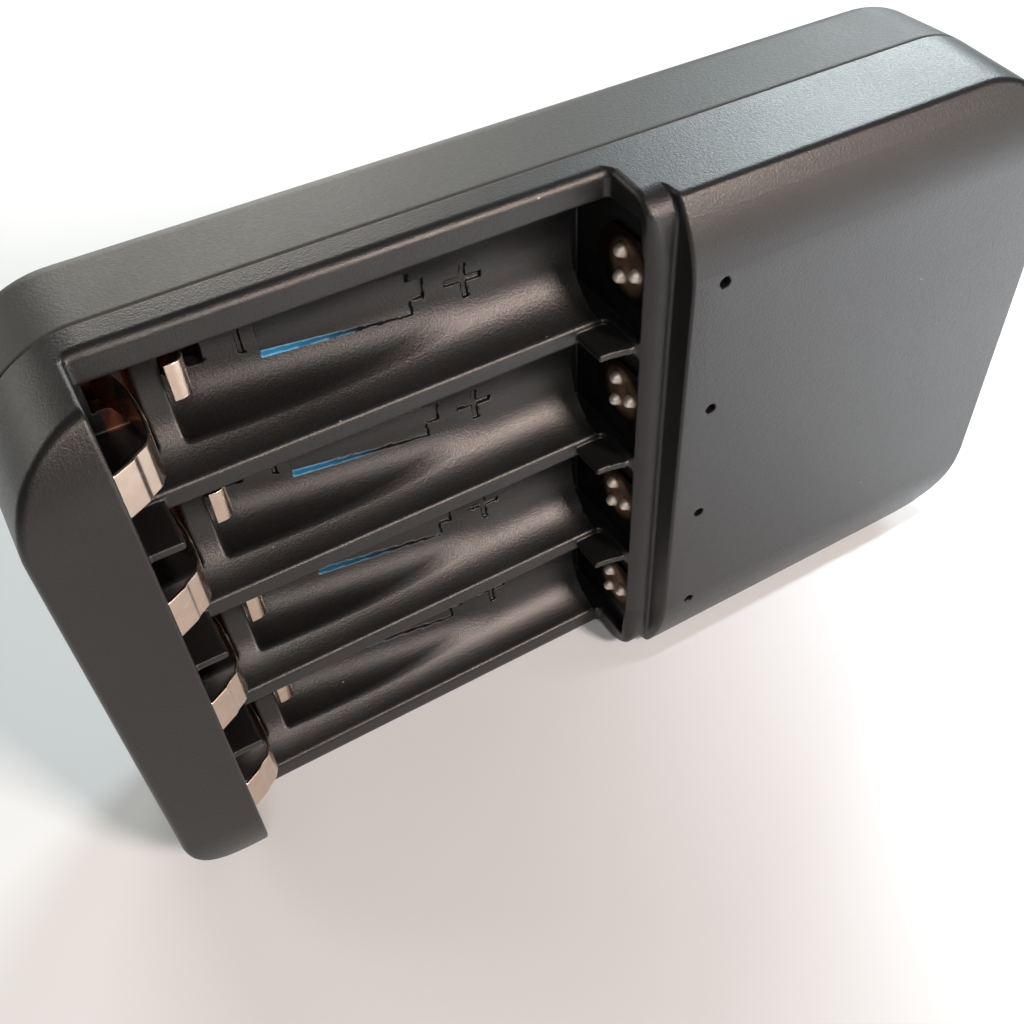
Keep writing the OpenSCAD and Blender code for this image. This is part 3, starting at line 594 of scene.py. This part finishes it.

# Phosphor bronze, stamped and plated: cells have rubbed the pips pale, though they stay matt and slightly dented,
# and the sheet round them is a dull brown with painted shade, darker away from them.
plate_nickel, tree, shader, place = new_material("plated phosphor bronze, stamped", Metallic=1.0)
across = add(tree, "SeparateXYZ", {"Vector": place}, "X")
down = add(tree, "SeparateXYZ", {"Vector": place}, "Y")
up = add(tree, "SeparateXYZ", {"Vector": place}, "Z")
in_bay = add(tree, "Math", {0: up, 1: (MIDDLE_HEIGHT + PITCH) * MM, 2: MIDDLE_HEIGHT * MM}, operation="WRAP")
flat = add(tree, "CombineXYZ", {"X": in_bay, "Y": down})
centre = ((MIDDLE_HEIGHT + PITCH / 2) * MM, (front_low[1] - PIP_Z) * MM, 0)
away = add(tree, "VectorMath", {0: flat, 1: centre}, "Value", operation="DISTANCE")
# Painted shade: the sheet darkens with its distance from the pips' centre, where the pocket shades it.
shade = add(tree, "MapRange", {"Value": away, "From Min": 2.3 * MM, "From Max": 3.4 * MM})
rubbed = add(tree, "MapRange", {"Value": across, "From Min": (tip_x + PLATE_FRONT - 0.05) * MM,
                                "From Max": (tip_x + PLATE_FRONT - 0.3) * MM})
blots = add(tree, "TexNoise", {"Vector": place, "Scale": 1 / (1.6 * MM), "Detail": 4.0})
stains = add(tree, "MapRange", {"Value": blots, "From Min": 0.35, "From Max": 0.7})
sheet_colour = add(tree, "Mix", {0: stains, 6: "#a88f7c", 7: "#7d6857"}, 2, data_type="RGBA")
sheet_colour = add(tree, "Mix", {0: shade, 6: sheet_colour, 7: "#2c211b"}, 2, data_type="RGBA")
colour = add(tree, "Mix", {0: rubbed, 6: sheet_colour, 7: "#f3eae0"}, 2, data_type="RGBA")
rough = add(tree, "MapRange", {"Value": rubbed, "To Min": 0.55, "To Max": 0.58})
dents = add(tree, "TexNoise", {"Vector": place, "Scale": 1 / (0.4 * MM)})
bump = add(tree, "Bump", {"Strength": 0.4, "Distance": 0.008 * MM, "Height": dents})
surface(tree, shader, Base_Color=colour, Roughness=rough, Normal=bump)

# Polycarbonate from a satin mould: black, glossier than the case, with faint flow marks.
plug_plastic, tree, shader, place = new_material("black polycarbonate, satin mould", IOR=1.58)
squeezed = add(tree, "Mapping", {"Vector": place, "Scale": (1, 1, 0.2)})
flow = add(tree, "TexNoise", {"Vector": squeezed, "Scale": 1 / (3 * MM), "Detail": 3.0})
colour = add(tree, "Mix", {0: flow, 6: "#141517", 7: "#1d1e20"}, 2, data_type="RGBA")
rough = add(tree, "MapRange", {"Value": flow, "From Min": 0.3, "From Max": 0.7, "To Min": 0.27, "To Max": 0.34})
sand = add(tree, "TexNoise", {"Vector": place, "Scale": 1 / (0.25 * MM)})
bump = add(tree, "Bump", {"Strength": 0.4, "Distance": 0.006 * MM, "Height": sand})
surface(tree, shader, Base_Color=colour, Roughness=rough, Normal=bump)

# Brass, stamped and nickel-plated: pale and bright, with fine lines along the blade from sliding into outlets.
blade_metal, tree, shader, place = new_material("nickel-plated brass, stamped", Metallic=1.0)
stretched = add(tree, "Mapping", {"Vector": place, "Scale": (0.08, 1, 1)})
drawn = add(tree, "TexNoise", {"Vector": stretched, "Scale": 1 / (0.35 * MM), "Detail": 3.0})
share = add(tree, "MapRange", {"Value": drawn, "From Min": 0.35, "From Max": 0.7})
colour = add(tree, "Mix", {0: share, 6: "#d3cec3", 7: "#b9b2a4"}, 2, data_type="RGBA")
rough = add(tree, "MapRange", {"Value": drawn, "From Min": 0.3, "From Max": 0.7, "To Min": 0.2, "To Max": 0.34})
bump = add(tree, "Bump", {"Strength": 0.5, "Distance": 0.004 * MM, "Height": drawn})
surface(tree, shader, Base_Color=colour, Roughness=rough, Normal=bump)

# Steel, thread-rolled and zinc-plated: cool grey with a slightly uneven passivated film.
screw_steel, tree, shader, place = new_material("zinc-plated steel, thread-rolled", Metallic=1.0)
film = add(tree, "TexNoise", {"Vector": place, "Scale": 1 / (1.4 * MM), "Detail": 4.0})
colour = add(tree, "Mix", {0: film, 6: "#a9adb2", 7: "#8f9092"}, 2, data_type="RGBA")
rough = add(tree, "MapRange", {"Value": film, "From Min": 0.3, "From Max": 0.7, "To Min": 0.28, "To Max": 0.42})
surface(tree, shader, Base_Color=colour, Roughness=rough)

# Epoxy, cast: clear and faintly milky, so that the unlit indicator looks grey behind its pinhole.
led_epoxy, tree, shader, place = new_material("clear epoxy, cast", IOR=1.52, Transmission_Weight=0.6)
haze = add(tree, "TexNoise", {"Vector": place, "Scale": 1 / (1.2 * MM)})
colour = add(tree, "Mix", {0: haze, 6: "#cfd3c8", 7: "#dfe2d8"}, 2, data_type="RGBA")
rough = add(tree, "MapRange", {"Value": haze, "From Min": 0.3, "From Max": 0.7, "To Min": 0.08, "To Max": 0.16})
surface(tree, shader, Base_Color=colour, Roughness=rough)

# Glass-fibre laminate under green solder mask: the weave shows faintly, copper tracks show as paler green lines.
board_mask, tree, shader, place = new_material("green solder mask on glass laminate", IOR=1.5)
flat = add(tree, "Mapping", {"Vector": place, "Rotation": (math.pi / 2, 0, 0)})
tracks = add(tree, "TexBrick", {"Vector": flat, "Scale": 1 / (9 * MM), "Mortar Size": 0.06, "Mortar Smooth": 0.05,
                                "Bias": -1.0, "Brick Width": 0.9, "Row Height": 0.35}, "Fac", offset=0.3)
weave = add(tree, "TexWave", {"Vector": place, "Scale": 0.3 / (0.6 * MM)}, "Fac")
colour = add(tree, "Mix", {0: tracks, 6: "#1f4a30", 7: "#2f6b42"}, 2, data_type="RGBA")
rough = add(tree, "MapRange", {"Value": weave, "To Min": 0.22, "To Max": 0.3})
bump = add(tree, "Bump", {"Distance": 0.035 * MM, "Height": tracks})
surface(tree, shader, Base_Color=colour, Roughness=rough, Normal=bump)


def baked_finish(name, first, second, grain, low, high, depth, **values):
    """A moulded, sintered or wound surface: two close colours and two close roughnesses that follow one noise,
    whose grain is in millimetres, and a shallow bump from it."""
    material, tree, shader, place = new_material(name, **values)
    noise = add(tree, "TexNoise", {"Vector": place, "Scale": 1 / (grain * MM), "Detail": 4.0})
    share = add(tree, "MapRange", {"Value": noise, "From Min": 0.3, "From Max": 0.7})
    colour = add(tree, "Mix", {0: share, 6: first, 7: second}, 2, data_type="RGBA")
    rough = add(tree, "MapRange", {"Value": noise, "From Min": 0.3, "From Max": 0.7,
                                   "To Min": low, "To Max": high})
    bump = add(tree, "Bump", {"Strength": 0.6, "Distance": depth * MM, "Height": noise})
    surface(tree, shader, Base_Color=colour, Roughness=rough, Normal=bump)
    return material


# Sintered ferrite: dull dark grey with a gritty skin.
ferrite = baked_finish("ferrite, sintered", "#2b2c2f", "#3a3a3c", 0.3, 0.6, 0.75, 0.02)
# Polyester tape over the windings: yellow and smooth, a little uneven over the turns beneath.
winding_tape = baked_finish(
    "yellow polyester tape over copper windings", "#b98f2c", "#cda63f", 1.2, 0.25, 0.4, 0.05, IOR=1.6)
# PVC sleeve, shrunk on a can: dark blue-grey and glossy.
sleeve = baked_finish("PVC sleeve, heat-shrunk", "#232c3a", "#2b3547", 2.0, 0.2, 0.32, 0.01, IOR=1.53)
# Black epoxy, transfer moulded: matt with a fine grain.
chip_resin = baked_finish("black epoxy, transfer moulded", "#1b1c1e", "#26272a", 0.15, 0.5, 0.62, 0.01, IOR=1.55)
# Ceramic tube, glazed: off-white with a soft gloss.
fuse_ceramic = baked_finish("ceramic tube, glazed", "#ddd6c6", "#e9e3d4", 1.5, 0.18, 0.28, 0.006, IOR=1.5)
# Copper alloy sheet, rolled: warm and a little tarnished.
copper_sheet = baked_finish(
    "copper alloy sheet, rolled", "#a9623a", "#b97a4d", 1.8, 0.25, 0.4, 0.005, Metallic=1.0)


def paint(material, *names):
    """Gives CAD nodes that keep their own shape a finish."""
    for name in names:
        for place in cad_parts[name].material_slots:
            place.material = material


# Both shells: the grid lines lie close together at edges and marks and wider between them
x_marks = [LEFT, LEFT + 1, HOOD_X, SADDLE_LEFT, SADDLE_RIGHT, OUTLINE_LEFT, OUTLINE_RIGHT, OUTLINE_TIP, MINUS_LEFT,
           MINUS_RIGHT, PLUS_X - PLUS_HALF - 0.05, PLUS_X - STROKE_HALF, PLUS_X + STROKE_HALF,
           PLUS_X + PLUS_HALF + 0.05, END_WALL_X - FIN_LENGTH, END_WALL_X, POCKET_BACK, STEP_X, STEP_X + 0.6,
           LED_X, RIGHT - 1, RIGHT]
bay_marks = [-7.15, -PIT_HALF, -OUTLINE_HALF, 0, OUTLINE_HALF, PIT_HALF, 7.15]
y_marks = np.append(np.add.outer(BAY_Y, bay_marks), [-HALF_WIDTH, HALF_WIDTH])
front_lines = (
    stations(LEFT - 0.6, RIGHT + 0.6, x_marks, 0.2, 0.9, 0.12),
    stations(-HALF_WIDTH - 0.5, HALF_WIDTH + 0.5, y_marks, 0.2, 0.5, 0.15),
    stations(-23.5, 0.4, [0, -3, -4.5, -9.8, PARTING, -15.3, -18.8], 0.2, 0.6, 0.12))
make_piece("front_shell", *skin(front_shell, front_lines), "case", ["front_housing"], "front_shell", front_plastic)

rear_lines = (
    stations(LEFT - 0.6, RIGHT + 0.6, [LEFT + 1, REAR_TOWER[0], WELL_LEFT, PIVOT_X, WELL_RIGHT, FRONT_TOWER[0],
                                       RIGHT - 1], 0.3, 1.2, 0.12),
    stations(-HALF_WIDTH - 0.5, HALF_WIDTH + 0.5,
             [s * y for y in (HALF_WIDTH - 1, FRONT_TOWER[1], REAR_TOWER[1], WELL_HALF) for s in (-1, 1)],
             0.3, 1.2, 0.12),
    stations(BACK - 0.6, PARTING + 0.5, [BACK + 1, SCREW_SEAT, PIVOT_Z, PARTING], 0.25, 0.8, 0.15))
make_piece("rear_shell", *skin(rear_shell, rear_lines), "case", ["rear_housing"], "rear_shell", rear_plastic)

# Springs: up from the floor, bowed to the cell, and back under the hood or over the saddle
large_path = np.concatenate([
    [(-50.57, -22.4)], arc(-69.1, -10.5, 20.8, -27, 0),
    [(-48.3, -8.5), (-48.5, -6.8), (-49.1, -5.6), (-50.3, -4.8), (-50.6, -4.4), (-52.6, -3.3), (-53.8, -3.3)]])
small_path = np.concatenate([
    [(-45.49, -22.4), (-45.49, -20.4)], arc(-44.04, -15.3, 1.2, -30, 100), [(-44.79, -14.1)]])
plate_lines = (stations(-0.2, 5.8, [0, PLATE_FRONT, PLATE_BACK], 0.07, 0.3, 0.3),
               stations(-4.2, 4.2, [-1.5, 0, 1.5], 0.11, 0.2, 0.05),
               stations(-13.3, -4.5, [-9.5, -7, -6], 0.11, 0.25, 0.05))
plate = skin(positive_plate, plate_lines)
for k, y in enumerate(BAY_Y, 1):
    make_piece(f"large_cell_spring_{k}", *bent_strip(large_path, y, STRIP_WIDTH, SHEET), f"aa_spring_{k}",
               [f"aa_contact_{k}"], "contact_nickel", spring_nickel)
    make_piece(f"small_cell_spring_{k}", *bent_strip(small_path, y + SMALL_SHIFT, SMALL_STRIP_WIDTH, SHEET),
               f"aaa_spring_{k}", [f"aaa_contact_{k}"], "contact_nickel", spring_nickel)
    make_piece(f"positive_plate_{k}", plate[0] + (0, y, 0), *plate[1:], "case", [f"positive_contact_{k}"],
               "contact_nickel", plate_nickel)

barrel_lines = (stations(PIVOT_X - 4.4, PIVOT_X + 4.4, [PIVOT_X - 2], 0.12, 0.25, 0.05),
                stations(-12.4, 12.4, [-BARREL_HALF, -BLADE_Y, BLADE_Y, BARREL_HALF], 0.12, 0.5, 0.15),
                stations(PIVOT_Z - 4.4, PIVOT_Z + 4.4, [PIVOT_Z], 0.12, 0.25, 0.05))
make_piece("plug_barrel", *skin(plug_barrel, barrel_lines), "plug", ["plug_carrier"], "plug_plastic", plug_plastic)
blade_lines = (stations(PIVOT_X - 2.3, BLADE_END + 0.3, [PIVOT_X - 2, BLADE_END - 5.5, BLADE_END - 2.5, BLADE_END],
                        0.12, 0.5, 0.1),
               stations(-1, 1, [-BLADE_HALF_T, BLADE_HALF_T], 0.08, 0.2, 0.3),
               stations(PIVOT_Z - 3.4, PIVOT_Z + 3.4, [PIVOT_Z - 3, PIVOT_Z, PIVOT_Z + 3], 0.12, 0.3, 0.1))
blade = skin(plug_blade, blade_lines)
for side, sign in (("left", -1), ("right", 1)):
    make_piece(f"blade_{side}", blade[0] + (0, sign * BLADE_Y, 0), *blade[1:], "plug", [f"plug_blade_{side}"],
               "blade_metal", blade_metal)

screw_lines = (stations(-2.8, 2.8, [0], 0.15, 0.24, 0.03), stations(-2.8, 2.8, [0], 0.15, 0.24, 0.03),
               stations(-1.9, 11.3, [-1.6, 0], 0.12, 0.18, 0.03))
one = skin(screw, screw_lines)
spots = [(x, s * y) for x, y in (FRONT_TOWER, REAR_TOWER) for s in (-1, 1)]
shifts = np.array([(x, y, SCREW_SEAT) for x, y in spots])
make_piece("case_screws_turned", (one[0][None] + shifts[:, None]).reshape(-1, 3),
           (one[1][None] + np.arange(4)[:, None, None] * len(one[0])).reshape(-1, 4), np.tile(one[2], (4, 1)),
           "case", ["case_screws"], "screw_steel", screw_steel)

paint(led_epoxy, *[f"indicator_led_{k}" for k in range(1, BAYS + 1)])
paint(board_mask, "main_board")
paint(ferrite, "transformer_core", "filter_choke")
paint(winding_tape, "transformer_winding")
paint(sleeve, "input_capacitor", "output_capacitor")
paint(chip_resin, "control_chip", "rectifier")
paint(fuse_ceramic, "fuse")
paint(copper_sheet, "return_strip", "plug_spring_left", "plug_spring_right")

# Camera: the photograph's own viewpoint, standing over the hood end
CAMERA_AT = (-53.911, 88.403, 69.175)
ROLL = math.radians(3.6076)
AZIMUTH, ELEVATION = math.radians(27.515), math.radians(46.487)
camera = bpy.data.objects.new("camera", bpy.data.cameras.new("camera"))
camera.data.lens = 38.395
camera.data.sensor_width = 36
camera.data.clip_start = 0.005
bpy.context.scene.collection.objects.link(camera)
camera.location = stand(CAMERA_AT)
forward = Vector((math.sin(AZIMUTH) * math.cos(ELEVATION), math.cos(AZIMUTH) * math.cos(ELEVATION),
                  -math.sin(ELEVATION)))
camera.rotation_euler = (forward.to_track_quat("-Z", "Y").to_matrix() @ Matrix.Rotation(-ROLL, 3, "Z")).to_euler()
bpy.context.scene.camera = camera

# Table: a white laminate, faintly uneven
table, tree, shader, place = new_material("white laminate table", Roughness=0.5, Specular_IOR_Level=0.2)
uneven = add(tree, "TexNoise", {"Vector": place, "Scale": 1 / (60 * MM), "Detail": 4.0})
surface(tree, shader, Base_Color=add(tree, "Mix", {0: uneven, 6: "#e9f0f5", 7: "#f0f6fa"}, 2, data_type="RGBA"))
floor_mesh = bpy.data.meshes.new("floor")
floor_mesh.from_pydata([(-1.5, -1.5, 0), (1.5, -1.5, 0), (1.5, 1.5, 0), (-1.5, 1.5, 0)], [], [(0, 1, 2, 3)])
floor_mesh.materials.append(table)
floor = bpy.data.objects.new("floor", floor_mesh)
bpy.context.scene.collection.objects.link(floor)


def lamp(name, place, target, size, power, colour, spread=180):
    """A square soft lamp at place, in metres, that faces target."""
    data = bpy.data.lights.new(name, "AREA")
    data.size, data.energy, data.color, data.spread = size, power, linear(colour)[:3], math.radians(spread)
    made = bpy.data.objects.new(name, data)
    made.location = place
    made.rotation_euler = (Vector(target) - Vector(place)).to_track_quat("-Z", "Y").to_euler()
    bpy.context.scene.collection.objects.link(made)


lamp("warm key", (0.28, -0.61, 0.43), (0, 0, 0.03), 0.15, 5.6, "#ffe8dc")
lamp("weaker key", (-0.12, -0.54, 0.54), (0, 0, 0.03), 0.25, 1.5, "#fff4ea")
lamp("front wall", (0.9, -1.0, 0.25), (0, 0, 0.03), 0.6, 2.9, "#fff8ec")
lamp("window", (0.6, 0.46, 0.42), (0, 0, 0.03), 0.3, 3.8, "#f0fcff")
lamp("back wall", (0.15, 0.90, 0.42), (0, 0, 0.03), 0.5, 5.2, "#fffaf2")
lamp("left wall", (-0.6, 0.6, 0.4), (0, 0, 0.03), 0.4, 1.4, "#fffaee")
lamp("table pool", (0.155, -0.07, 0.6), (0.155, -0.07, 0), 0.06, 0.25, "#fafcff", 30)

# The sky is faint as a light and white to the camera.
world = bpy.data.worlds.new("world")
world.use_nodes = True
sky = world.node_tree.nodes["Background"]
sky.inputs["Color"].default_value = linear("#f4f6fa")
seen = add(world.node_tree, "LightPath")
faint = add(world.node_tree, "MapRange", {"Value": seen, "To Min": 0.07})
world.node_tree.links.new(faint, sky.inputs["Strength"])
bpy.context.scene.world = world
bpy.context.scene.view_settings.view_transform = "Standard"
